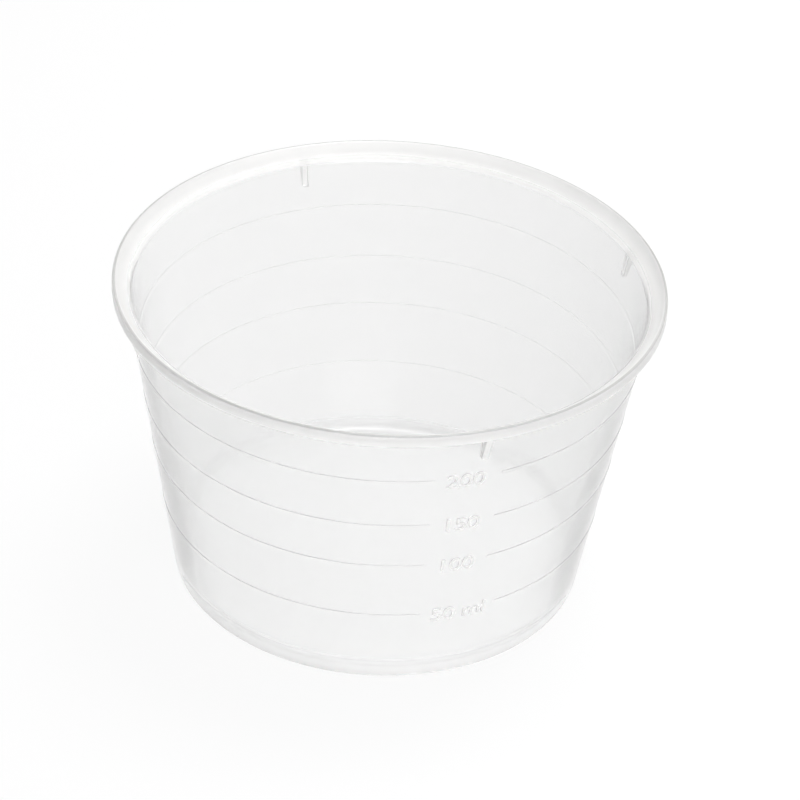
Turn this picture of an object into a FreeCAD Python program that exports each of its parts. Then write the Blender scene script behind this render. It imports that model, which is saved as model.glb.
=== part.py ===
import FreeCAD, Part
import os
import Sketcher

# Surgical bowl of 250 ml with volume marks, moulded in one piece.
# Frame: millimetres, +Z up, origin at the middle of the underside, on the table.
# The marks are left open at the front, where their numbers stand, on the side that faces -Y.

# Driving dimensions: name, value, meaning. Lengths in millimetres, angles in degrees.
SIZES = [
    ("overall_height", 56.3, "table to the crest of the rim"),
    ("rim_diameter", 92.0, "outside of the rim"),
    ("base_diameter", 70.2, "outside of the wall, carried on down to the table"),
    ("rim_overhang", 2.45, "how far the rim stands out from the wall"),
    ("neck_depth", 3.0, "crest down to where the rim's underside meets the wall"),
    ("wall_thickness", 0.9, "measured square to the wall"),
    ("floor_height", 2.1, "table to the inside of the floor"),
    ("foot_recess", 1.1, "table to the underside of the raised floor"),
    ("foot_width", 1.9, "ring that the bowl stands on"),
    ("foot_draft", 0.5, "how far the inside of that ring leans in"),
    ("heel_round", 0.9, "outside corner at the table"),
    ("floor_round", 1.5, "inside corner of wall and floor"),
    ("flare_depth", 2.3, "crest down to where the inside starts to flare"),
    ("flare_round", 1.2, "blend of the wall into the flare"),
    ("crest_width", 0.7, "flat on top of the rim"),
    ("crest_round", 0.5, "blend of the flare into that flat"),
    ("edge_height", 2.1, "outer face of the rim"),
    ("edge_width", 1.3, "underside of the rim's thick edge"),
    ("edge_round", 0.4, "outer corners of the rim"),
    ("neck_round", 0.5, "corner of the wall and the rim's underside"),
    ("gate_diameter", 2.4, "spot that the moulding gate leaves under the floor"),
    ("gate_height", 0.3, "how far that spot stands out"),
    ("level_fifty", 14.7, "height of the 50 ml mark"),
    ("level_hundred", 26.1, "height of the 100 ml mark"),
    ("level_hundred_fifty", 35.2, "height of the 150 ml mark"),
    ("level_two_hundred", 44.9, "height of the 200 ml mark"),
    ("mark_width", 0.7, "raised line of a mark"),
    ("mark_relief", 0.15, "how far a mark stands out from the wall"),
    ("gap_before", 10.0, "end of a mark to the middle of the front rib"),
    ("gap_after", 5.3, "middle of the front rib to the start of a mark"),
    ("gap_after_unit", 9.8, "the same on the 50 ml mark, whose number has its unit"),
    ("rib_count", 4, "ribs that keep nested bowls apart"),
    ("rib_width", 1.1, "thickness of a rib"),
    ("rib_depth", 6.9, "crest down to the foot of a rib"),
    ("rib_foot", 0.8, "how far the foot of a rib stands out from the wall"),
    ("rib_setback", 0.6, "outer face of the rim back to the head of a rib"),
]
FRONT = 270  # direction of the front rib, turned from +X towards +Y
FULL_TURN = 360
HALF_TURN = 180
SAME_PLACE = 1e-4  # how close an edge lies to the corner that names it

# Sizes that follow from the driving ones, as expression text.
RIM_RADIUS = "sizes.rim_diameter / 2"
BASE_RADIUS = "sizes.base_diameter / 2"
NECK_RADIUS = f"({RIM_RADIUS} - sizes.rim_overhang)"
NECK_HEIGHT = "(sizes.overall_height - sizes.neck_depth)"
TAPER = f"(({NECK_RADIUS} - {BASE_RADIUS}) / {NECK_HEIGHT})"
WALL_ACROSS = f"(sizes.wall_thickness * sqrt(1 + {TAPER} ^ 2))"
FLARE_HEIGHT = "(sizes.overall_height - sizes.flare_depth)"
EDGE_FOOT = "(sizes.overall_height - sizes.edge_height)"
EDGE_MIDDLE = "(sizes.overall_height - sizes.edge_height * 3 / 4)"
RIB_FOOT_HEIGHT = "(sizes.overall_height - sizes.rib_depth)"
FLOOR_MIDDLE = "(sizes.floor_height + sizes.foot_recess) / 2"
BETWEEN_RIBS = f"{FRONT} + {HALF_TURN} / sizes.rib_count"


def wall_outside(height):
    """Outer radius of the wall at a height, as expression text."""
    return f"({BASE_RADIUS} + {TAPER} * ({height}))"


def wall_inside(height):
    """Inner radius of the wall at a height, as expression text."""
    return f"({wall_outside(height)} - {WALL_ACROSS})"


def wall_middle(height):
    """Radius halfway through the wall at a height, as expression text."""
    return f"({wall_outside(height)} - {WALL_ACROSS} / 2)"


# Corners of the section, named where a round is put on them: distance from the axis, height.
HEEL = (BASE_RADIUS, "0")
NECK = (NECK_RADIUS, NECK_HEIGHT)
EDGE_BOTTOM = (RIM_RADIUS, EDGE_FOOT)
EDGE_TOP = (RIM_RADIUS, "sizes.overall_height")
CREST_INSIDE = (f"{RIM_RADIUS} - sizes.crest_width", "sizes.overall_height")
FLARE_START = (wall_inside(FLARE_HEIGHT), FLARE_HEIGHT)
FLOOR_CORNER = (wall_inside("sizes.floor_height"), "sizes.floor_height")


def make_sheet(doc):
    """Write the driving dimensions into the document's spreadsheet."""
    sheet = doc.addObject("Spreadsheet::Sheet", "sizes")
    for row, (name, value, meaning) in enumerate(SIZES, start=1):
        sheet.set(f"A{row}", name)
        sheet.set(f"B{row}", str(value))
        sheet.set(f"C{row}", meaning)
        sheet.setAlias(f"B{row}", name)
    doc.recompute()


def evaluate(owner, text):
    """The number that an expression has now."""
    return float(owner.evalExpression(text))


def section_sketch(body, name, corners, turn=None):
    """Draw a closed polygon in a plane through the axis, with each corner bound to the sheet.

    corners are pairs of expression text: distance from the axis, height. turn, where it is
    given, swings the plane about the axis from +X towards +Y.
    """
    planes = {feature.Role: feature for feature in body.Origin.OriginFeatures}
    sketch = body.newObject("Sketcher::SketchObject", name)
    sketch.AttachmentSupport = [(planes["XZ_Plane"], "")]
    sketch.MapMode = "FlatFace"
    if turn:
        swing = FreeCAD.Rotation(FreeCAD.Vector(0, 1, 0), evaluate(sketch, turn))
        sketch.AttachmentOffset = FreeCAD.Placement(FreeCAD.Vector(), swing)
        sketch.setExpression(".AttachmentOffset.Rotation.Angle", turn)
    points = [FreeCAD.Vector(evaluate(sketch, across), evaluate(sketch, up), 0) for across, up in corners]
    count = len(points)
    for index in range(count):
        line = Part.LineSegment(points[index], points[(index + 1) % count])
        sketch.addGeometry(line, False)
    for index in range(count):
        joint = Sketcher.Constraint("Coincident", index, 2, (index + 1) % count, 1)
        sketch.addConstraint(joint)
    for index, (across, up) in enumerate(corners):
        for kind, value, text in (("DistanceX", points[index].x, across), ("DistanceY", points[index].y, up)):
            measure = sketch.addConstraint(Sketcher.Constraint(kind, -1, 1, index, 1, value))
            sketch.setExpression(f"Constraints[{measure}]", text)
    return sketch


def turned(body, name, sketch, sweep=None):
    """Turn a section about the bowl's axis, all round or through a swept angle."""
    feature = body.newObject("PartDesign::Revolution", name)
    feature.Profile = sketch
    feature.ReferenceAxis = (sketch, ["V_Axis"])
    feature.Angle = FULL_TURN
    if sweep:
        feature.setExpression("Angle", sweep)
    body.Document.recompute()
    return feature


def rounded(body, name, corners, radius):
    """Round the circular edges that run through some corners of the section."""
    base = body.Tip
    edges = []
    for across, up in corners:
        reach = evaluate(body, across)
        height = evaluate(body, up)
        for number, edge in enumerate(base.Shape.Edges, start=1):
            if not isinstance(edge.Curve, Part.Circle):
                continue
            middle = edge.Curve.Center
            if abs(edge.Curve.Radius - reach) < SAME_PLACE and abs(middle.z - height) < SAME_PLACE:
                edges.append(f"Edge{number}")
    feature = body.newObject("PartDesign::Fillet", name)
    feature.Base = (base, edges)
    feature.setExpression("Radius", f"sizes.{radius}")
    body.Document.recompute()
    return feature


def add_shell(body):
    """Foot, wall, floor and rim, turned from one section and rounded at its corners."""
    section = [
        ("0", "sizes.foot_recess"),
        (f"{BASE_RADIUS} - sizes.foot_width - sizes.foot_draft", "sizes.foot_recess"),
        (f"{BASE_RADIUS} - sizes.foot_width", "0"),
        HEEL,
        NECK,
        (f"{RIM_RADIUS} - sizes.edge_width", EDGE_FOOT),
        EDGE_BOTTOM,
        EDGE_TOP,
        CREST_INSIDE,
        FLARE_START,
        FLOOR_CORNER,
        ("0", "sizes.floor_height"),
    ]
    turned(body, "shell", section_sketch(body, "shell_section", section, BETWEEN_RIBS))
    rounded(body, "heel", [HEEL], "heel_round")
    rounded(body, "floor_corner", [FLOOR_CORNER], "floor_round")
    rounded(body, "flare", [FLARE_START], "flare_round")
    rounded(body, "crest", [CREST_INSIDE], "crest_round")
    rounded(body, "rim_edge", [EDGE_BOTTOM, EDGE_TOP], "edge_round")
    rounded(body, "neck", [NECK], "neck_round")


def add_gate_spot(body):
    """The small round spot under the middle of the floor, clear of the table."""
    spot = "sizes.gate_diameter / 2"
    low = "sizes.foot_recess - sizes.gate_height"
    section = [("0", low), (spot, low), (spot, FLOOR_MIDDLE), ("0", FLOOR_MIDDLE)]
    turned(body, "gate_spot", section_sketch(body, "gate_section", section))


def add_mark(body, level, gap_after):
    """One raised line round the wall, left open at the front for its number."""
    low = f"(sizes.{level} - sizes.mark_width / 2)"
    high = f"(sizes.{level} + sizes.mark_width / 2)"
    section = [
        (wall_middle(low), low),
        (f"{wall_outside(low)} + sizes.mark_relief", low),
        (f"{wall_outside(high)} + sizes.mark_relief", high),
        (wall_middle(high), high),
    ]
    start = f"{FRONT} + sizes.{gap_after}"
    sweep = f"{FULL_TURN} - sizes.gap_before - sizes.{gap_after}"
    turned(body, level, section_sketch(body, f"{level}_section", section, start), sweep)


def add_ribs(body):
    """Upright ribs between the wall and the rim, spread evenly and with one at the front."""
    head = f"{RIM_RADIUS} - sizes.rib_setback"
    section = [
        (wall_middle(RIB_FOOT_HEIGHT), RIB_FOOT_HEIGHT),
        (f"{wall_outside(RIB_FOOT_HEIGHT)} + sizes.rib_foot", RIB_FOOT_HEIGHT),
        (head, EDGE_FOOT),
        (head, EDGE_MIDDLE),
        (f"{RIM_RADIUS} - sizes.edge_width", EDGE_MIDDLE),
        NECK,
    ]
    sketch = section_sketch(body, "rib_section", section, str(FRONT))
    rib = body.newObject("PartDesign::Pad", "front_rib")
    rib.Profile = sketch
    rib.Midplane = True
    rib.setExpression("Length", "sizes.rib_width")
    body.Document.recompute()
    ribs = body.newObject("PartDesign::PolarPattern", "ribs")
    ribs.Originals = [rib]
    ribs.Axis = (sketch, ["V_Axis"])
    ribs.Angle = FULL_TURN
    ribs.setExpression("Occurrences", "sizes.rib_count")
    body.Tip = ribs
    body.Document.recompute()


def check(doc, body):
    """Stop where a feature has failed or the bowl isn't one sound solid."""
    for item in doc.Objects:
        for state in ("Invalid", "Error"):
            if state in item.State:
                raise RuntimeError(f"{item.Name} is {state}")
    shape = body.Shape
    if shape.isNull() or not shape.isValid() or len(shape.Solids) != 1:
        raise RuntimeError(f"{body.Label} is not one valid solid")


def main():
    doc = FreeCAD.newDocument("surgical_bowl")
    make_sheet(doc)
    bowl = doc.addObject("PartDesign::Body", "bowl")
    bowl.Label = "bowl"
    add_shell(bowl)
    add_gate_spot(bowl)
    add_mark(bowl, "level_fifty", "gap_after_unit")
    add_mark(bowl, "level_hundred", "gap_after")
    add_mark(bowl, "level_hundred_fifty", "gap_after")
    add_mark(bowl, "level_two_hundred", "gap_after")
    add_ribs(bowl)
    doc.recompute()
    check(doc, bowl)
    os.makedirs("parts", exist_ok=True)
    bowl.Shape.exportStep(f"parts/{bowl.Label}.step")
    print(bowl.Label, "volume", round(bowl.Shape.Volume, 2), "box", bowl.Shape.BoundBox)


main()
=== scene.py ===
"""Surgical bowl of 250 ml, moulded in one piece from natural polypropylene.

The shell is turned from one section, the volume marks follow the wall, their numbers are wrapped
round it and the ribs under the rim are repeated about the axis, all by Geometry Nodes. The parts are
then fused into one closed mesh, which stands for the CAD node "bowl". Sizes are in millimetres in the
classes and in metres in the meshes. Angles are turned about +Z from -Y, the front, towards +X.
"""

from __future__ import annotations

import logging
import math
from dataclasses import dataclass
from enum import Enum

import bmesh
import bpy
from mathutils import Matrix, Vector


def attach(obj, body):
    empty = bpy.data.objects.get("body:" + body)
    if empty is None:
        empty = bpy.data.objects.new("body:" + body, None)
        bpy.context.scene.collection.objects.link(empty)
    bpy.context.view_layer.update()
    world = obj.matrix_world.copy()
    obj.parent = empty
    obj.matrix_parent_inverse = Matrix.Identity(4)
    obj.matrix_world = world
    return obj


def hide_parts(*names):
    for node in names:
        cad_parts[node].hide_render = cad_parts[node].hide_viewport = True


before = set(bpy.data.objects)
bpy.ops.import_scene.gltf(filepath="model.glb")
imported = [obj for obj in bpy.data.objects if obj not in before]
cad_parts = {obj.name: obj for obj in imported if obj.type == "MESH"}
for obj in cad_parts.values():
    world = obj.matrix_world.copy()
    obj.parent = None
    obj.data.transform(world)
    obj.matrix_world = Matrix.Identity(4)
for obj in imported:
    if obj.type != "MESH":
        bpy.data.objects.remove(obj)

LOG = logging.getLogger("surgical_bowl")
MM = 0.001
WELD = 1e-6  # metres within which corners are one
TURN = 360.0
QUARTER = 90.0
MOULDING = "bowl_moulding"
NODE = "bowl"
BODY = "root"
LIGHT_PATH = 32  # faces that light may meet inside the plastic
CAMERA_RAYS = ("Is Camera Ray",)
PLASTIC_RAYS = ("Is Glossy Ray", "Is Transmission Ray")
WHITE = (1.0, 1.0, 1.0)


class Channel(Enum):
    """Kinds of input that a node tree offers."""

    WHOLE = "NodeSocketInt"
    SIZE = "NodeSocketFloat"
    SWITCH = "NodeSocketBool"
    TEXT = "NodeSocketString"
    FINISH = "NodeSocketMaterial"


@dataclass(frozen=True)
class Corner:
    """One corner of a section.

    Attributes:
        across: Distance from the axis, in mm.
        up: Height, in mm.
        round_mm: Radius that the corner is rounded to.
        steps: Edges that the round is drawn with.
    """

    across: float
    up: float
    round_mm: float = 0.0
    steps: int = 8


def rounded(corners: list[Corner], closed: bool) -> list[tuple[float, float]]:
    """Draw a section with its corners rounded.

    Args:
        corners: The section's corners in order.
        closed: Whether the last corner joins the first.

    Returns:
        Points across and up, in mm.
    """
    points: list[tuple[float, float]] = []
    count = len(corners)
    for index, corner in enumerate(corners):
        here = Vector((corner.across, corner.up))
        at_end = not closed and index in (0, count - 1)
        if at_end or corner.round_mm <= 0:
            points.append((here.x, here.y))
            continue
        before = corners[index - 1]
        after = corners[(index + 1) % count]
        back = (Vector((before.across, before.up)) - here).normalized()
        on = (Vector((after.across, after.up)) - here).normalized()
        half = back.angle(on) / 2
        reach = corner.round_mm / math.tan(half)
        centre = here + (back + on).normalized() * (corner.round_mm / math.sin(half))
        start = here + back * reach - centre
        sweep = start.angle_signed(here + on * reach - centre)
        for step in range(corner.steps + 1):
            angle = -sweep * step / corner.steps
            turned = Matrix.Rotation(angle, 2) @ start
            points.append((centre.x + turned.x, centre.y + turned.y))
    return points


class Tree:
    """A geometry node tree that is drawn up node by node.

    Attributes:
        group: The node group.
    """

    def __init__(self, name: str) -> None:
        """Start a tree with one geometry going in and one coming out.

        Args:
            name: Name of the node group.
        """
        self.group = bpy.data.node_groups.new(name, "GeometryNodeTree")
        for side in ("INPUT", "OUTPUT"):
            self.group.interface.new_socket("Geometry", in_out=side, socket_type="NodeSocketGeometry")
        self._start = self.group.nodes.new("NodeGroupInput")
        self._end = self.group.nodes.new("NodeGroupOutput")

    @property
    def geometry(self) -> bpy.types.NodeSocket:
        """The geometry that goes into the tree."""
        return self._start.outputs["Geometry"]

    def given(self, name: str, channel: Channel) -> bpy.types.NodeSocket:
        """Add a named input to the tree.

        Args:
            name: The input's name.
            channel: What kind of input it is.

        Returns:
            The socket that carries it.
        """
        self.group.interface.new_socket(name, in_out="INPUT", socket_type=channel.value)
        return self._start.outputs[name]

    def node(self, kind: str, inputs: dict | None = None, **settings: object) -> bpy.types.Node:
        """Add a node with its settings, values and links.

        Args:
            kind: The node's type name.
            inputs: Values, or sockets to link from, by input name or number.
            **settings: The node's own properties.

        Returns:
            The new node.
        """
        made = self.group.nodes.new(kind)
        for key, value in settings.items():
            setattr(made, key, value)
        for key, value in (inputs or {}).items():
            socket = made.inputs[key]
            if isinstance(value, bpy.types.NodeSocket):
                self.group.links.new(value, socket)
            else:
                socket.default_value = value
        return made

    def maths(self, operation: str, first: object, second: object = 0.0) -> bpy.types.NodeSocket:
        """Join two numbers by one sum.

        Args:
            operation: Name of the sum, such as MULTIPLY.
            first: A socket or a number.
            second: A socket or a number.

        Returns:
            The socket with the result.
        """
        return self.node("ShaderNodeMath", {0: first, 1: second}, operation=operation).outputs[0]

    def finish(self, last: bpy.types.NodeSocket, material: bpy.types.NodeSocket) -> None:
        """Realize what the tree has made, give it its material and close the tree.

        Args:
            last: The geometry that the tree has made.
            material: The socket that carries the material.
        """
        realized = self.node("GeometryNodeRealizeInstances", {"Geometry": last})
        dressed = self.node(
            "GeometryNodeSetMaterial", {"Geometry": realized.outputs["Geometry"], "Material": material}
        )
        self.group.links.new(dressed.outputs["Geometry"], self._end.inputs["Geometry"])

    def grow(self, name: str, source: bpy.types.Mesh, values: dict[str, object]) -> bpy.types.Mesh:
        """Run the tree on a mesh and keep what it makes as a plain mesh.

        Args:
            name: Name of the new mesh.
            source: The mesh that goes in.
            values: The tree's named inputs.

        Returns:
            The mesh that the tree has made.
        """
        holder = bpy.data.objects.new(f"{name}_source", source)
        bpy.context.scene.collection.objects.link(holder)
        modifier = holder.modifiers.new(name, "NODES")
        modifier.node_group = self.group
        for item in self.group.interface.items_tree:
            if item.in_out == "INPUT" and item.name in values:
                modifier[item.identifier] = values[item.name]
        seen = holder.evaluated_get(bpy.context.evaluated_depsgraph_get())
        made = bpy.data.meshes.new_from_object(seen)
        made.name = name
        bpy.data.objects.remove(holder)
        return made


def line_mesh(name: str, points: list[tuple[float, float]], closed: bool) -> bpy.types.Mesh:
    """Make a line of edges in the XY plane from a section.

    Args:
        name: Name of the mesh.
        points: Points across and up, in mm.
        closed: Whether the last point joins the first.

    Returns:
        The line as a mesh, in metres.
    """
    mesh = bpy.data.meshes.new(name)
    count = len(points)
    edges = [(index, (index + 1) % count) for index in range(count if closed else count - 1)]
    mesh.from_pydata([(across * MM, up * MM, 0.0) for across, up in points], edges, [])
    return mesh


def turning_tree() -> Tree:
    """Draw up the tree that turns a section about +Z, all round or through a part of a turn.

    Returns:
        The tree. Its Radius is where the path lies, Start and Sweep are in radians from +X.
    """
    tree = Tree("turned_section")
    radius = tree.given("Radius", Channel.SIZE)
    start = tree.given("Start", Channel.SIZE)
    sweep = tree.given("Sweep", Channel.SIZE)
    steps = tree.given("Steps", Channel.WHOLE)
    whole = tree.given("Whole turn", Channel.SWITCH)
    material = tree.given("Material", Channel.FINISH)
    inward = tree.node("ShaderNodeCombineXYZ", {"X": tree.maths("MULTIPLY", radius, -1.0)})
    placed = tree.node(
        "GeometryNodeTransform",
        {"Geometry": tree.geometry, "Translation": inward.outputs["Vector"], "Scale": (1.0, -1.0, 1.0)},
    )
    section = tree.node("GeometryNodeMeshToCurve", {"Mesh": placed.outputs["Geometry"]})
    arc = tree.node(
        "GeometryNodeCurveArc",
        {"Resolution": steps, "Radius": radius, "Start Angle": start, "Sweep Angle": sweep},
        mode="RADIUS",
    )
    ring = tree.node(
        "GeometryNodeCurvePrimitiveCircle", {"Resolution": steps, "Radius": radius}, mode="RADIUS"
    )
    path = tree.node(
        "GeometryNodeSwitch",
        {"Switch": whole, "False": arc.outputs["Curve"], "True": ring.outputs["Curve"]},
        input_type="GEOMETRY",
    )
    upright = tree.node("GeometryNodeSetCurveNormal", {"Curve": path.outputs["Output"]}, mode="Z_UP")
    turned = tree.node(
        "GeometryNodeCurveToMesh",
        {"Curve": upright.outputs["Curve"], "Profile Curve": section.outputs["Curve"], "Fill Caps": True},
    )
    closed = tree.node("GeometryNodeMergeByDistance", {"Geometry": turned.outputs["Mesh"], "Distance": WELD})
    tree.finish(closed.outputs["Geometry"], material)
    return tree


def repeating_tree() -> Tree:
    """Draw up the tree that repeats a solid evenly about +Z.

    Returns:
        The tree, with inputs Count and Material.
    """
    tree = Tree("repeated_about_axis")
    count = tree.given("Count", Channel.WHOLE)
    material = tree.given("Material", Channel.FINISH)
    places = tree.node("GeometryNodePoints", {"Count": count})
    share = tree.maths("DIVIDE", tree.node("GeometryNodeInputIndex").outputs["Index"], count)
    turn = tree.node("ShaderNodeCombineXYZ", {"Z": tree.maths("MULTIPLY", share, math.tau)})
    rotation = tree.node("FunctionNodeEulerToRotation", {"Euler": turn.outputs["Vector"]})
    spread = tree.node(
        "GeometryNodeInstanceOnPoints",
        {
            "Points": places.outputs["Points"],
            "Instance": tree.geometry,
            "Rotation": rotation.outputs["Rotation"],
        },
    )
    tree.finish(spread.outputs["Instances"], material)
    return tree


def lettering_tree() -> Tree:
    """Draw up the tree that sets a number out in relief and wraps it round a tapered wall.

    Returns:
        The tree. Its lengths are in metres and its angles in radians from the front.
    """
    tree = Tree("wrapped_number")
    text = tree.given("Text", Channel.TEXT)
    size = tree.given("Size", Channel.SIZE)
    spacing = tree.given("Spacing", Channel.SIZE)
    stretch = tree.given("Stretch", Channel.SIZE)
    rise = tree.given("Rise", Channel.SIZE)
    level = tree.given("Level", Channel.SIZE)
    start = tree.given("Start", Channel.SIZE)
    foot = tree.given("Foot radius", Channel.SIZE)
    taper = tree.given("Taper", Channel.SIZE)
    relief = tree.given("Relief", Channel.SIZE)
    sunk = tree.given("Sunk", Channel.SIZE)
    material = tree.given("Material", Channel.FINISH)
    written = tree.node(
        "GeometryNodeStringToCurves", {"String": text, "Size": size, "Character Spacing": spacing}
    )
    loose = tree.node("GeometryNodeRealizeInstances", {"Geometry": written.outputs["Curve Instances"]})
    face = tree.node("GeometryNodeFillCurve", {"Curve": loose.outputs["Geometry"]}, mode="TRIANGLES")
    outward = tree.node("ShaderNodeCombineXYZ", {"Z": tree.maths("ADD", relief, sunk)})
    raised = tree.node(
        "GeometryNodeExtrudeMesh",
        {"Mesh": face.outputs["Mesh"], "Offset": outward.outputs["Vector"], "Individual": False},
        mode="FACES",
    )
    back = tree.node("GeometryNodeFlipFaces", {"Mesh": face.outputs["Mesh"]})
    joined = tree.node("GeometryNodeJoinGeometry")
    for part in (raised, back):
        tree.group.links.new(part.outputs["Mesh"], joined.inputs["Geometry"])
    solid = tree.node(
        "GeometryNodeMergeByDistance", {"Geometry": joined.outputs["Geometry"], "Distance": WELD}
    )
    position = tree.node("GeometryNodeInputPosition").outputs["Position"]
    place = tree.node("ShaderNodeSeparateXYZ", {0: position})
    across, up, out = (place.outputs[axis] for axis in "XYZ")
    height = tree.maths("ADD", level, tree.maths("SUBTRACT", up, rise))
    wall = tree.maths("ADD", foot, tree.maths("MULTIPLY", taper, height))
    round_here = tree.maths("ADD", foot, tree.maths("MULTIPLY", taper, level))
    along = tree.maths("DIVIDE", tree.maths("MULTIPLY", across, stretch), round_here)
    angle = tree.maths("ADD", start, along)
    reach = tree.maths("ADD", tree.maths("SUBTRACT", wall, sunk), out)
    wrapped = tree.node(
        "ShaderNodeCombineXYZ",
        {
            "X": tree.maths("MULTIPLY", reach, tree.maths("SINE", angle)),
            "Y": tree.maths("MULTIPLY", reach, tree.maths("MULTIPLY", tree.maths("COSINE", angle), -1.0)),
            "Z": height,
        },
    )
    laid = tree.node(
        "GeometryNodeSetPosition",
        {"Geometry": solid.outputs["Geometry"], "Position": wrapped.outputs["Vector"]},
    )
    tree.finish(laid.outputs["Geometry"], material)
    return tree


class Shading:
    """The node tree of a material or of the surroundings, drawn up node by node.

    Attributes:
        nodes: The tree's nodes.
    """

    def __init__(self, tree: bpy.types.NodeTree) -> None:
        """Take up a node tree.

        Args:
            tree: The tree.
        """
        self.nodes = tree.nodes
        self._links = tree.links

    def feed(self, socket: bpy.types.NodeSocket, value: object) -> None:
        """Give an input its value.

        Args:
            socket: The input.
            value: A number, a colour, or a socket to link from.
        """
        if isinstance(value, bpy.types.NodeSocket):
            self._links.new(value, socket)
        elif isinstance(value, tuple):
            socket.default_value = (*value, 1.0)
        else:
            socket.default_value = value

    def node(self, kind: str, inputs: dict | None = None) -> bpy.types.Node:
        """Add a node with its values and links.

        Args:
            kind: The node's type name.
            inputs: Values, or sockets to link from, by input name or number.

        Returns:
            The new node.
        """
        made = self.nodes.new(kind)
        for key, value in (inputs or {}).items():
            self.feed(made.inputs[key], value)
        return made

    def maths(
        self, operation: str, first: object, second: object = 0.0, clamped: bool = False
    ) -> bpy.types.NodeSocket:
        """Join two numbers by one sum.

        Args:
            operation: Name of the sum, such as MULTIPLY.
            first: A socket or a number.
            second: A socket or a number.
            clamped: Whether the result is kept between 0 and 1.

        Returns:
            The socket with the result.
        """
        made = self.node("ShaderNodeMath", {0: first, 1: second})
        made.operation = operation
        made.use_clamp = clamped
        return made.outputs[0]

    def fade(self, length: bpy.types.NodeSocket, span: tuple[float, float]) -> bpy.types.NodeSocket:
        """Tell how far a length has come between two others.

        Args:
            length: The socket with the length, in metres.
            span: The lengths, in mm, at which the result is 0 and 1.

        Returns:
            The socket with the result, from 0 to 1.
        """
        start, end = (at * MM for at in span)
        inputs = {"Value": length, "From Min": start, "From Max": end}
        return self.node("ShaderNodeMapRange", inputs).outputs["Result"]

    def blend(self, share: bpy.types.NodeSocket, first: object, second: object) -> bpy.types.NodeSocket:
        """Blend two colours.

        Args:
            share: The socket with the share of the second colour.
            first: A socket or a colour.
            second: A socket or a colour.

        Returns:
            The socket with the blend.
        """
        made = self.nodes.new("ShaderNodeMix")
        made.data_type = "RGBA"
        self.feed(made.inputs[0], share)
        colours = (socket for socket in made.inputs if socket.type == "RGBA")
        for socket, value in zip(colours, (first, second)):
            self.feed(socket, value)
        return next(socket for socket in made.outputs if socket.type == "RGBA")

    def noise(self, where: bpy.types.NodeSocket, size: float, detail: float) -> bpy.types.NodeSocket:
        """Add a noise pattern.

        Args:
            where: Coordinates that the pattern follows.
            size: Size of its patches, in mm.
            detail: How much finer structure it has.

        Returns:
            The socket with the pattern, from 0 to 1.
        """
        inputs = {"Vector": where, "Scale": 1.0 / (size * MM), "Detail": detail}
        return self.node("ShaderNodeTexNoise", inputs).outputs["Fac"]

    def seen_by(self, rays: tuple[str, ...]) -> bpy.types.NodeSocket:
        """Tell some kinds of ray, before they light a dull face, from the rest.

        Args:
            rays: The kinds, as Light Path names them.

        Returns:
            The socket that is 1 for these rays and 0 for others.
        """
        path = self.node("ShaderNodeLightPath").outputs
        either = path[rays[0]]
        for name in rays[1:]:
            either = self.maths("MAXIMUM", either, path[name])
        return self.maths("SUBTRACT", either, path["Diffuse Depth"], clamped=True)


@dataclass(frozen=True)
class Unevenness:
    """Fine waves that the mould leaves in the plastic's surface.

    Attributes:
        size: Size of a wave, in mm.
        detail: How much finer structure the waves have.
        strength: How much of them shows.
        depth: How deep they are, in mm.
    """

    size: float
    detail: float
    strength: float
    depth: float

    def build(
        self, shading: Shading, where: bpy.types.NodeSocket, over: bpy.types.NodeSocket | None = None
    ) -> bpy.types.NodeSocket:
        """Add the waves to a material.

        Args:
            shading: The material's node tree.
            where: Coordinates that the waves follow.
            over: The socket with the waves that these lie on, if any.

        Returns:
            The socket with the surface's direction.
        """
        inputs = {
            "Height": shading.noise(where, self.size, self.detail),
            "Strength": self.strength,
            "Distance": self.depth * MM,
        }
        if over is not None:
            inputs["Normal"] = over
        return shading.node("ShaderNodeBump", inputs).outputs["Normal"]


@dataclass(frozen=True)
class Zones:
    """Where the plastic looks other than in the plain wall. Each socket goes from 0 to 1 in its zone.

    Attributes:
        thick: The rim and what stands out from the wall.
        face: The rim's outer face, which is painted lighter as painted light.
        base: The floor and the foot.
        edge: The outer edges of the crest, of the rim's underside and of the foot, where shade is painted on
            as thin dark lines.
    """

    thick: bpy.types.NodeSocket
    face: bpy.types.NodeSocket
    base: bpy.types.NodeSocket
    edge: bpy.types.NodeSocket


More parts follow.
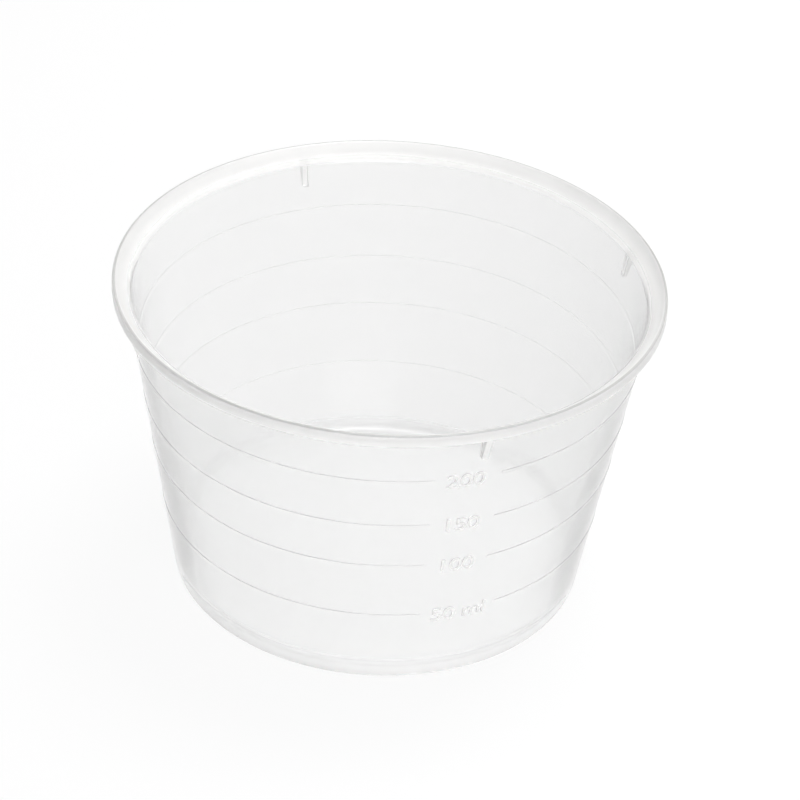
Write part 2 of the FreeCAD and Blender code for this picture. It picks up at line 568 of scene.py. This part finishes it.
@dataclass(frozen=True)
class NaturalPolypropylene:
    """Uncoloured polypropylene as it comes out of the mould: hazy, see-through and satin.

    A zone's two lengths, in mm, say where it begins and where it is full.

    Attributes:
        name: Name of the material.
        colour: Colour that the plastic sends back and lets through.
        clearness: Share of the light that goes through the wall rather than being scattered.
        rim_depth: Depths below the crest for the thicker rim.
        relief_from: Distances out from the wall for what stands on it.
        rim_clearness: The same as clearness for the rim and for what stands on the wall.
        rim_satin: Roughness there.
        rim_colour: Colour there.
        face_light_inset: Distances in from the outside of the rim for its outer face.
        face_light_colour: Painted light: a lighter colour on that face, which stands in for the light it
            catches.
        base_height: Heights for the floor and foot, which are milkier than the wall.
        base_clearness: The same as clearness for the floor and foot.
        base_colour: Colour there.
        edge_shade_inset: Distances in from the outside of the rim for its edges, where shade is painted on.
        crest_edge_shade: Depths below the crest for its outer edge.
        under_edge_shade: Heights above the rim's underside for its outer edge.
        foot_edge_shade: Heights for the foot's outer edge.
        edge_shade_colour: Painted shade: a dark colour on these edges that draws the thin dark lines which
            refraction and shade put there, and the contact shade along the foot.
        ior: How much the plastic bends light.
        satin: Lowest and highest roughness of the surface.
        cloud: Size of the patches in which the roughness varies, in mm.
        cloud_detail: How much finer structure these patches have.
        cloud_span: Values of their pattern at which the roughness is lowest and highest.
        ripple: The slow waves of a moulded wall.
        grain: The fine texture of the mould.
        lets_light: Share of the light on its way to a dull face that passes straight through one face.
    """

    name: str = "natural_polypropylene"
    colour: tuple[float, float, float] = (0.953, 0.953, 0.953)
    clearness: float = 0.8
    rim_depth: tuple[float, float] = (2.9, 1.5)
    relief_from: tuple[float, float] = (0.1, 0.2)
    rim_clearness: float = 0.5
    rim_satin: float = 0.3
    rim_colour: tuple[float, float, float] = (0.93, 0.928, 0.92)
    face_light_inset: tuple[float, float] = (0.7, 0.2)
    # Painted light: the rim's outer face is made whiter so that it looks lit.
    face_light_colour: tuple[float, float, float] = (0.99, 0.988, 0.98)
    base_height: tuple[float, float] = (4.5, 2.5)
    base_clearness: float = 0.5
    base_colour: tuple[float, float, float] = (0.955, 0.955, 0.955)
    edge_shade_inset: tuple[float, float] = (0.6, 0.45)
    crest_edge_shade: tuple[float, float] = (0.2, 0.1)
    under_edge_shade: tuple[float, float] = (0.25, 0.1)
    foot_edge_shade: tuple[float, float] = (0.4, 0.2)
    # Painted shade: a dark colour that draws thin dark lines along the crest, the rim's underside and the
    # foot.
    edge_shade_colour: tuple[float, float, float] = (0.6, 0.598, 0.59)
    ior: float = 1.45
    satin: tuple[float, float] = (0.08, 0.12)
    cloud: float = 9.0
    cloud_detail: float = 3.0
    cloud_span: tuple[float, float] = (0.3, 0.7)
    ripple: Unevenness = Unevenness(size=7.0, detail=1.0, strength=0.25, depth=0.05)
    grain: Unevenness = Unevenness(size=0.35, detail=2.0, strength=0.2, depth=0.01)
    lets_light: float = 0.965

    def build(self, shell: Shell) -> bpy.types.Material:
        """Make the material.

        Args:
            shell: The shell whose rim, floor and foot look other than its wall.

        Returns:
            The material, patterned on Object coordinates.
        """
        material = bpy.data.materials.new(self.name)
        material.use_nodes = True
        shading = Shading(material.node_tree)
        where = shading.node("ShaderNodeTexCoord").outputs["Object"]
        zones = self.zones(shading, shell, where)
        plastic = shading.nodes["Principled BSDF"]
        plastic.inputs["Transmission Weight"].default_value = self.clearness
        looks = {
            "IOR": self.ior,
            "Transmission Weight": self.clear_share(shading, zones),
            "Base Color": self.tint(shading, zones),
            "Roughness": self.roughness(shading, zones, where),
            "Normal": self.grain.build(shading, where, self.ripple.build(shading, where)),
        }
        for name, value in looks.items():
            shading.feed(plastic.inputs[name], value)
        open_side = shading.node("ShaderNodeBsdfTransparent", {"Color": (self.lets_light,) * 3})
        path = shading.node("ShaderNodeLightPath").outputs
        lighting = shading.maths("MAXIMUM", path["Is Shadow Ray"], path["Is Diffuse Ray"])
        sides = {0: lighting, 1: plastic.outputs["BSDF"], 2: open_side.outputs["BSDF"]}
        both = shading.node("ShaderNodeMixShader", sides).outputs["Shader"]
        shading.feed(shading.nodes["Material Output"].inputs["Surface"], both)
        return material

    def zones(self, shading: Shading, shell: Shell, where: bpy.types.NodeSocket) -> Zones:
        """Tell the rim, the relief, the floor, the foot and the edges from the plain wall.

        Args:
            shading: The material's node tree.
            shell: The shell that they belong to.
            where: Coordinates on the bowl.

        Returns:
            The zones.
        """
        place = shading.node("ShaderNodeSeparateXYZ", {"Vector": where}).outputs
        height = place["Z"]
        squares = (shading.maths("MULTIPLY", place[axis], place[axis]) for axis in "XY")
        radius = shading.maths("SQRT", shading.maths("ADD", *squares))
        past_base = shading.maths("SUBTRACT", radius, shell.base_radius * MM)
        past_wall = shading.maths("SUBTRACT", past_base, shading.maths("MULTIPLY", height, shell.taper))
        depth = shading.maths("SUBTRACT", shell.height * MM, height)
        inset = shading.maths("SUBTRACT", shell.rim_radius * MM, radius)
        above = shading.maths("SUBTRACT", shell.edge_height * MM, depth)
        rim = shading.fade(depth, self.rim_depth)
        relief = shading.fade(past_wall, self.relief_from)
        crest = shading.fade(depth, self.crest_edge_shade)
        under = shading.fade(above, self.under_edge_shade)
        reached = shading.fade(inset, self.edge_shade_inset)
        # Painted shade: mask of the rim's outer edges, which are darkened into thin dark lines.
        rim_edge_shade = shading.maths("MULTIPLY", reached, shading.maths("MAXIMUM", crest, under))
        return Zones(
            thick=shading.maths("MAXIMUM", rim, relief),
            face=shading.fade(inset, self.face_light_inset),
            base=shading.fade(height, self.base_height),
            # Painted shade also along the foot's bottom edge, standing in for contact shade.
            edge=shading.maths("MAXIMUM", rim_edge_shade, shading.fade(height, self.foot_edge_shade)),
        )

    def clear_share(self, shading: Shading, zones: Zones) -> bpy.types.NodeSocket:
        """Make the thicker zones milkier than the wall.

        Args:
            shading: The material's node tree.
            zones: The zones.

        Returns:
            The socket with the share of the light that goes through.
        """
        at_rim = shading.maths("MULTIPLY", zones.thick, self.clearness - self.rim_clearness)
        at_base = shading.maths("MULTIPLY", zones.base, self.clearness - self.base_clearness)
        return shading.maths("SUBTRACT", self.clearness, shading.maths("MAXIMUM", at_rim, at_base))

    def tint(self, shading: Shading, zones: Zones) -> bpy.types.NodeSocket:
        """Give each zone its colour, with painted shade on the outer edges and painted light on the rim's
        outer face.

        Args:
            shading: The material's node tree.
            zones: The zones.

        Returns:
            The socket with the colour.
        """
        tint = shading.blend(zones.thick, self.colour, self.rim_colour)
        tint = shading.blend(zones.base, tint, self.base_colour)
        # Painted light: lightens the rim's outer face.
        tint = shading.blend(zones.face, tint, self.face_light_colour)
        # Painted shade: darkens the outer edges of the rim and the foot into thin dark lines.
        return shading.blend(zones.edge, tint, self.edge_shade_colour)

    def roughness(
        self, shading: Shading, zones: Zones, where: bpy.types.NodeSocket
    ) -> bpy.types.NodeSocket:
        """Give the surface its uneven satin sheen.

        Args:
            shading: The material's node tree.
            zones: The zones.
            where: Coordinates that the sheen follows.

        Returns:
            The socket with the roughness.
        """
        satin = {
            "Value": shading.noise(where, self.cloud, self.cloud_detail),
            "From Min": self.cloud_span[0],
            "From Max": self.cloud_span[1],
            "To Min": self.satin[0],
            "To Max": self.satin[1],
        }
        wall = shading.node("ShaderNodeMapRange", satin).outputs["Result"]
        inputs = {"Value": zones.thick, "To Min": wall, "To Max": self.rim_satin}
        return shading.node("ShaderNodeMapRange", inputs).outputs["Result"]


@dataclass(frozen=True)
class Shell:
    """Foot, wall, floor and rim of the bowl, turned from one section. Lengths are in mm.

    Attributes:
        height: Table to the crest of the rim.
        rim_radius: Outside of the rim.
        base_radius: Outside of the wall, carried on down to the table.
        overhang: How far the rim stands out from the wall.
        neck_depth: Crest down to where the rim's underside meets the wall.
        wall: Thickness of the wall, square to it.
        floor: Table to the inside of the floor.
        recess: Table to the underside of the raised floor.
        foot: Width of the ring that the bowl stands on.
        foot_draft: How far the inside of that ring leans in.
        flare_depth: Crest down to where the inside starts to flare.
        crest: Flat on top of the rim.
        edge_height: Outer face of the rim.
        edge_width: Underside of the rim's thick edge.
        gate_radius: Spot that the moulding gate leaves under the floor.
        gate_height: How far that spot stands out.
        small_round: Round of the gate spot and of the foot's inner edge.
        recess_round: Round between the foot and the raised floor.
        foot_round: Round of the foot's outer edge.
        neck_round: Round where the rim's underside meets the wall.
        under_round: Round where that underside meets the thick edge.
        edge_round: Round of the outer face, above and below.
        crest_round: Round of the crest's inner edge.
        flare_round: Round where the inside starts to flare.
        floor_round: Round between the wall and the floor, inside.
        wide_steps: Edges that a wide round is drawn with.
        turns: Faces round the bowl.
    """

    height: float = 56.3
    rim_radius: float = 46.0
    base_radius: float = 35.1
    overhang: float = 2.45
    neck_depth: float = 3.0
    wall: float = 0.9
    floor: float = 2.1
    recess: float = 1.1
    foot: float = 1.9
    foot_draft: float = 0.5
    flare_depth: float = 2.3
    crest: float = 0.7
    edge_height: float = 2.1
    edge_width: float = 1.3
    gate_radius: float = 1.2
    gate_height: float = 0.3
    small_round: float = 0.12
    recess_round: float = 0.35
    foot_round: float = 0.9
    neck_round: float = 0.5
    under_round: float = 0.2
    edge_round: float = 0.4
    crest_round: float = 0.5
    flare_round: float = 1.2
    floor_round: float = 0.6
    wide_steps: int = 10
    turns: int = 360

    @property
    def taper(self) -> float:
        """How much wider the wall gets for each mm of height."""
        return (self.rim_radius - self.overhang - self.base_radius) / (self.height - self.neck_depth)

    def outside(self, height: float) -> float:
        """Outer radius of the wall at a height."""
        return self.base_radius + self.taper * height

    def inside(self, height: float) -> float:
        """Inner radius of the wall at a height."""
        return self.outside(height) - self.wall * math.hypot(1.0, self.taper)

    def section(self) -> list[tuple[float, float]]:
        """Draw the section from the axis under the floor, up outside and down inside to the axis.

        Returns:
            Points across and up, in mm.
        """
        neck = self.height - self.neck_depth
        edge = self.height - self.edge_height
        flare = self.height - self.flare_depth
        low = self.recess - self.gate_height
        corners = [
            Corner(0.0, low),
            Corner(self.gate_radius, low, self.small_round),
            Corner(self.gate_radius, self.recess, self.small_round),
            Corner(self.base_radius - self.foot - self.foot_draft, self.recess, self.recess_round),
            Corner(self.base_radius - self.foot, 0.0, self.small_round),
            Corner(self.base_radius, 0.0, self.foot_round, self.wide_steps),
            Corner(self.outside(neck), neck, self.neck_round),
            Corner(self.rim_radius - self.edge_width, edge, self.under_round),
            Corner(self.rim_radius, edge, self.edge_round),
            Corner(self.rim_radius, self.height, self.edge_round),
            Corner(self.rim_radius - self.crest, self.height, self.crest_round),
            Corner(self.inside(flare), flare, self.flare_round, self.wide_steps),
            Corner(self.inside(self.floor), self.floor, self.floor_round),
            Corner(0.0, self.floor),
        ]
        return rounded(corners, closed=False)

    def build(self, turner: Tree, material: bpy.types.Material) -> bpy.types.Mesh:
        """Turn the section all the way round.

        Args:
            turner: The tree that turns a section.
            material: The bowl's material.

        Returns:
            The shell as a closed mesh.
        """
        line = line_mesh("shell_section", self.section(), closed=False)
        values = {
            "Radius": self.rim_radius * MM,
            "Steps": self.turns,
            "Whole turn": True,
            "Material": material,
        }
        return turner.grow("shell", line, values)


@dataclass(frozen=True)
class VolumeMark:
    """One raised line round the wall with its number. Angles are in degrees from the front.

    Attributes:
        level: Height of the line, in mm.
        number: What stands in its gap.
        resumes: Where the line starts again to the right of the number.
    """

    level: float
    number: str
    resumes: float


@dataclass(frozen=True)
class VolumeMarks:
    """The raised lines and the numbers in their gaps. Lengths are in mm, angles in degrees.

    Attributes:
        marks: The marks from the lowest up.
        ends: Where each line ends, left of its number.
        width: Width of a line at the wall.
        slope: How far each side of a line leans in.
        relief: How far lines stand out.
        shoulder: Round of a line's edges.
        shoulder_steps: Edges that this round is drawn with.
        number_start: Left edge of the numbers.
        number_height: Height of the figures.
        number_stretch: How much wider the figures are than their typeface has them.
        number_relief: How far the figures stand out.
        figure_rise: Height of a figure for a text size of 1.
        spacing: Space between figures, as a share of the usual.
        sunk: How far both reach into the wall, so that they fuse with it.
        steps: Faces along a line.
    """

    marks: tuple[VolumeMark, ...] = (
        VolumeMark(14.7, "50 ml", 9.8),
        VolumeMark(26.1, "100", 5.3),
        VolumeMark(35.2, "150", 5.3),
        VolumeMark(44.9, "200", 5.3),
    )
    ends: float = -10.0
    width: float = 0.82
    slope: float = 0.08
    relief: float = 0.065
    shoulder: float = 0.06
    shoulder_steps: int = 4
    number_start: float = -7.5
    number_height: float = 2.75
    number_stretch: float = 1.2
    number_relief: float = 0.22
    figure_rise: float = 0.73
    spacing: float = 0.95
    sunk: float = 0.3
    steps: int = 320

    def lines(self, shell: Shell, turner: Tree, material: bpy.types.Material) -> list[bpy.types.Mesh]:
        """Lay each raised line round the wall.

        Args:
            shell: The shell that they stand on.
            turner: The tree that turns a section.
            material: The bowl's material.

        Returns:
            One closed mesh for each line.
        """
        made = []
        for index, mark in enumerate(self.marks):
            low = mark.level - self.width / 2
            high = mark.level + self.width / 2
            soft = (self.shoulder, self.shoulder_steps)
            corners = [
                Corner(shell.outside(low) - self.sunk, low),
                Corner(shell.outside(low), low),
                Corner(shell.outside(low) + self.relief, low + self.slope, *soft),
                Corner(shell.outside(high) + self.relief, high - self.slope, *soft),
                Corner(shell.outside(high), high),
                Corner(shell.outside(high) - self.sunk, high),
            ]
            line = line_mesh(f"mark_section_{index}", rounded(corners, closed=True), closed=True)
            start = math.radians(mark.resumes - QUARTER)
            sweep = math.radians(TURN + self.ends - mark.resumes)
            values = {
                "Radius": shell.outside(mark.level) * MM,
                "Start": start,
                "Sweep": sweep,
                "Steps": self.steps,
                "Whole turn": False,
                "Material": material,
            }
            made.append(turner.grow(f"mark_{index}", line, values))
        return made

    def numbers(self, shell: Shell, writer: Tree, material: bpy.types.Material) -> list[bpy.types.Mesh]:
        """Set each number out on the wall in the gap of its line.

        Args:
            shell: The shell that they stand on.
            writer: The tree that wraps a number round the wall.
            material: The bowl's material.

        Returns:
            One closed mesh for each number.
        """
        made = []
        for index, mark in enumerate(self.marks):
            values = {
                "Text": mark.number,
                "Size": self.number_height / self.figure_rise * MM,
                "Spacing": self.spacing,
                "Stretch": self.number_stretch,
                "Rise": self.number_height / 2 * MM,
                "Level": mark.level * MM,
                "Start": math.radians(self.number_start),
                "Foot radius": shell.base_radius * MM,
                "Taper": shell.taper,
                "Relief": self.number_relief * MM,
                "Sunk": self.sunk * MM,
                "Material": material,
            }
            made.append(writer.grow(f"number_{index}", bpy.data.meshes.new("page"), values))
        return made


@dataclass(frozen=True)
class StackingRibs:
    """Short upright ribs between the wall and the rim, which keep nested bowls apart. Lengths are in mm.

    Attributes:
        count: Ribs round the bowl, the first at the front.
        width: Thickness of a rib.
        depth: Crest down to the foot of a rib.
        foot: How far the foot stands out from the wall.
        setback: Outer face of the rim back to the head of a rib.
        sunk: How far the head reaches up into the rim's edge, as a share of that edge's height.
        soft: Radius of its edges.
        soft_steps: Edges that this round is drawn with.
    """

    count: int = 4
    width: float = 1.1
    depth: float = 6.9
    foot: float = 0.8
    setback: float = 0.6
    sunk: float = 0.25
    soft: float = 0.12
    soft_steps: int = 8

    def build(self, shell: Shell, repeater: Tree, material: bpy.types.Material) -> bpy.types.Mesh:
        """Make the front rib and repeat it about the axis.

        Args:
            shell: The shell that they stand on.
            repeater: The tree that repeats a solid about the axis.
            material: The bowl's material.

        Returns:
            The ribs as closed solids in one mesh.
        """
        low = shell.height - self.depth
        edge = shell.height - shell.edge_height
        head = shell.rim_radius - self.setback
        neck = shell.height - shell.neck_depth
        buried = edge + shell.edge_height * self.sunk
        outline = [
            (shell.outside(low) - shell.wall / 2, low),
            (shell.outside(low) + self.foot, low),
            (head, edge),
            (head, buried),
            (shell.rim_radius - shell.edge_width, buried),
            (shell.outside(neck) - shell.wall / 2, neck),
        ]
        work = bmesh.new()
        side = [work.verts.new((-self.width / 2 * MM, -across * MM, up * MM)) for across, up in outline]
        face = work.faces.new(side)
        moved = bmesh.ops.extrude_face_region(work, geom=[face])["geom"]
        corners = [item for item in moved if isinstance(item, bmesh.types.BMVert)]
        bmesh.ops.translate(work, verts=corners, vec=(self.width * MM, 0.0, 0.0))
        bmesh.ops.recalc_face_normals(work, faces=work.faces)
        bmesh.ops.bevel(
            work,
            geom=list(work.edges),
            offset=self.soft * MM,
            segments=self.soft_steps,
            profile=0.5,
            affect="EDGES",
        )
        rib = bpy.data.meshes.new("front_rib")
        work.to_mesh(rib)
        work.free()
        return repeater.grow("ribs", rib, {"Count": self.count, "Material": material})


@dataclass(frozen=True)
class Bowl:
    """The whole bowl as one moulding.

    Attributes:
        shell: Foot, wall, floor and rim.
        marks: The raised lines and their numbers.
        ribs: The ribs under the rim.
        finish: The plastic.
        crease: Angle between faces past which an edge is shown sharp, in degrees.
    """

    shell: Shell = Shell()
    marks: VolumeMarks = VolumeMarks()
    ribs: StackingRibs = StackingRibs()
    finish: NaturalPolypropylene = NaturalPolypropylene()
    crease: float = 12.0

    def build(self) -> bpy.types.Object:
        """Make the parts, fuse them and dress the result.

        Returns:
            The bowl, riding on its body in place of the CAD node.
        """
        material = self.finish.build(self.shell)
        turner = turning_tree()
        body = self.shell.build(turner, material)
        relief = self.marks.lines(self.shell, turner, material)
        relief += self.marks.numbers(self.shell, lettering_tree(), material)
        relief.append(self.ribs.build(self.shell, repeating_tree(), material))
        mesh = fused(MOULDING, body, relief)
        mesh.materials.clear()
        mesh.materials.append(material)
        for polygon in mesh.polygons:
            polygon.use_smooth = True
            polygon.material_index = 0
        mesh.set_sharp_from_angle(angle=math.radians(self.crease))
        piece = bpy.data.objects.new(MOULDING, mesh)
        bpy.context.scene.collection.objects.link(piece)
        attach(piece, BODY)
        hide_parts(NODE)
        LOG.info("%s: %d corners, %d faces", MOULDING, len(mesh.vertices), len(mesh.polygons))
        return piece


def outward(mesh: bpy.types.Mesh) -> bpy.types.Mesh:
    """Weld a mesh's corners and turn its faces outwards.

    Args:
        mesh: The mesh of one or more closed solids.

    Returns:
        The same mesh.
    """
    work = bmesh.new()
    work.from_mesh(mesh)
    bmesh.ops.remove_doubles(work, verts=work.verts, dist=WELD)
    bmesh.ops.recalc_face_normals(work, faces=work.faces)
    loose = sum(1 for edge in work.edges if not edge.is_manifold)
    if loose:
        LOG.warning("%s: %d edges aren't closed", mesh.name, loose)
    work.to_mesh(mesh)
    work.free()
    return mesh


def fused(name: str, body: bpy.types.Mesh, relief: list[bpy.types.Mesh]) -> bpy.types.Mesh:
    """Fuse a body and what stands on it into one closed mesh.

    Args:
        name: Name of the new mesh.
        body: The mesh that the rest stands on.
        relief: Closed meshes that reach into the body and lie clear of each other.

    Returns:
        The fused mesh, with its faces outwards.
    """
    work = bmesh.new()
    for part in relief:
        work.from_mesh(outward(part))
    standing = bpy.data.meshes.new("relief")
    work.to_mesh(standing)
    work.free()
    base = bpy.data.objects.new("fusing", outward(body))
    other = bpy.data.objects.new("fused_on", standing)
    for item in (base, other):
        bpy.context.scene.collection.objects.link(item)
    modifier = base.modifiers.new("fuse", "BOOLEAN")
    modifier.operation = "UNION"
    modifier.solver = "MANIFOLD"
    modifier.object = other
    seen = base.evaluated_get(bpy.context.evaluated_depsgraph_get())
    mesh = bpy.data.meshes.new_from_object(seen)
    mesh.name = name
    for item in (base, other):
        bpy.data.objects.remove(item)
    return outward(mesh)


@dataclass(frozen=True)
class Lamp:
    """One soft lamp, aimed at the bowl.

    Attributes:
        name: The lamp's name.
        azimuth: Where it stands, in degrees from the front towards +X.
        elevation: How high it stands, in degrees.
        distance: How far off it is, in metres.
        size: Side of its square face, in metres.
        watts: Its strength.
    """

    name: str
    azimuth: float
    elevation: float
    distance: float
    size: float
    watts: float

    def build(self) -> None:
        """Hang the lamp."""
        light = bpy.data.lights.new(self.name, "AREA")
        light.shape = "SQUARE"
        light.size = self.size
        light.energy = self.watts
        item = bpy.data.objects.new(self.name, light)
        turn = math.radians(self.azimuth)
        rise = math.radians(self.elevation)
        way = Vector((math.sin(turn) * math.cos(rise), -math.cos(turn) * math.cos(rise), math.sin(rise)))
        item.location = way * self.distance
        item.rotation_euler = (-way).to_track_quat("-Z", "Y").to_euler()
        bpy.context.scene.collection.objects.link(item)


@dataclass(frozen=True)
class Viewpoint:
    """The photograph's camera.

    Attributes:
        azimuth: Where it stands, in degrees from the front towards +X.
        distance: How far it is from the axis, in metres.
        height: How high it is, in metres.
        pitch: How far it looks down, in radians.
        yaw: How far it looks to the right of the axis, in radians.
        roll: How far it leans, in radians.
        focal_pixels: Focal length, in pixels of the photograph.
        frame_pixels: Width of the photograph.
        sensor: Width of the sensor, in mm.
        nearest: How close a thing may be and still be seen, in metres.
        farthest: How far off it may be, in metres.
    """

    azimuth: float = -21.8
    distance: float = 0.4616514
    height: float = 0.3462742
    pitch: float = 0.5976
    yaw: float = 0.0058
    roll: float = 0.0569
    focal_pixels: float = 3292.2255
    frame_pixels: float = 800.0
    sensor: float = 36.0
    nearest: float = 0.01
    farthest: float = 100.0

    def build(self) -> bpy.types.Object:
        """Set the camera up and make it the scene's own.

        Returns:
            The camera.
        """
        camera = bpy.data.cameras.new("camera")
        camera.sensor_width = self.sensor
        camera.lens = self.focal_pixels / self.frame_pixels * self.sensor
        camera.clip_start = self.nearest
        camera.clip_end = self.farthest
        item = bpy.data.objects.new("camera", camera)
        turn = math.radians(self.azimuth)
        heading = -turn + self.yaw
        ahead = Vector(
            (
                math.sin(heading) * math.cos(self.pitch),
                math.cos(heading) * math.cos(self.pitch),
                -math.sin(self.pitch),
            )
        )
        right = Vector((math.cos(heading), -math.sin(heading), 0.0))
        up = right.cross(ahead)
        across = right * math.cos(self.roll) + up * math.sin(self.roll)
        along = up * math.cos(self.roll) - right * math.sin(self.roll)
        place = Vector((math.sin(turn) * self.distance, -math.cos(turn) * self.distance, self.height))
        item.matrix_world = Matrix(
            (
                (across.x, along.x, -ahead.x, place.x),
                (across.y, along.y, -ahead.y, place.y),
                (across.z, along.z, -ahead.z, place.z),
                (0.0, 0.0, 0.0, 1.0),
            )
        )
        bpy.context.scene.collection.objects.link(item)
        bpy.context.scene.camera = item
        return item


@dataclass(frozen=True)
class Studio:
    """Plain white floor, soft daylight and two lamps.

    Attributes:
        floor_side: Side of the floor, in metres.
        floor_colour: How much light the floor sends back.
        floor_lift: What brings the lit floor up to white for the camera.
        daylight: Strength of the even light from all round.
        wall_level: How bright the room's walls look in the plastic, at the height of the table.
        wall_top: Sine of the angle above the table at which they have brightened to the white above.
        key: The lamp that casts the bowl's shadow.
        fill: The lamp that brightens the side towards the camera.
    """

    floor_side: float = 8.0
    floor_colour: float = 0.9
    floor_lift: float = 0.06
    daylight: float = 0.275
    wall_level: float = 0.92
    wall_top: float = 0.6
    key: Lamp = Lamp("key_lamp", azimuth=120.0, elevation=74.0, distance=1.3, size=0.6, watts=12.4)
    fill: Lamp = Lamp("fill_lamp", azimuth=-10.0, elevation=22.0, distance=1.3, size=0.8, watts=6.2)

    def build(self) -> None:
        """Lay the floor, hang the lamps and light the surroundings."""
        mesh = bpy.data.meshes.new("floor")
        half = self.floor_side / 2
        corners = [(x * half, y * half, 0.0) for x, y in ((-1, -1), (1, -1), (1, 1), (-1, 1))]
        mesh.from_pydata(corners, [], [(0, 1, 2, 3)])
        floor = bpy.data.objects.new("floor", mesh)
        mesh.materials.append(self.floor_material())
        bpy.context.scene.collection.objects.link(floor)
        self.key.build()
        self.fill.build()
        self.light_world()

    def floor_material(self) -> bpy.types.Material:
        """Make the floor's white, which keeps the bowl's shadow.

        Returns:
            The material.
        """
        material = bpy.data.materials.new("studio_floor")
        material.use_nodes = True
        shading = Shading(material.node_tree)
        looks = {
            "Base Color": (self.floor_colour,) * 3,
            "Roughness": 1.0,
            "Specular IOR Level": 0.0,
            "Emission Color": WHITE,
            "Emission Strength": shading.maths(
                "MULTIPLY", shading.seen_by(CAMERA_RAYS + PLASTIC_RAYS), self.floor_lift
            ),
        }
        for name, value in looks.items():
            shading.feed(shading.nodes["Principled BSDF"].inputs[name], value)
        return material

    def light_world(self) -> None:
        """Give the surroundings their even light, white to the camera and darker low down in the plastic."""
        world = bpy.data.worlds.new("surroundings")
        world.use_nodes = True
        shading = Shading(world.node_tree)
        around = shading.node("ShaderNodeTexCoord").outputs["Generated"]
        rise = shading.node("ShaderNodeSeparateXYZ", {"Vector": around}).outputs["Z"]
        room = shading.node(
            "ShaderNodeMapRange", {"Value": rise, "From Max": self.wall_top, "To Min": self.wall_level}
        )
        room.interpolation_type = "SMOOTHSTEP"
        shown = {
            "Value": shading.seen_by(PLASTIC_RAYS),
            "To Min": self.daylight,
            "To Max": room.outputs["Result"],
        }
        level = shading.node("ShaderNodeMapRange", shown).outputs["Result"]
        background = shading.nodes["Background"].inputs
        shading.feed(background["Color"], WHITE)
        shading.feed(background["Strength"], shading.maths("MAXIMUM", level, shading.seen_by(CAMERA_RAYS)))
        bpy.context.scene.world = world


def main() -> None:
    """Build the bowl and the studio round it."""
    logging.basicConfig(level=logging.INFO, format="%(name)s: %(message)s")
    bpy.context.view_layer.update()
    scene = bpy.context.scene
    scene.view_settings.view_transform = "Standard"
    scene.cycles.max_bounces = LIGHT_PATH
    scene.cycles.glossy_bounces = LIGHT_PATH
    scene.cycles.transmission_bounces = LIGHT_PATH
    Viewpoint().build()
    Bowl().build()
    Studio().build()


if __name__ == "__main__":
    main()
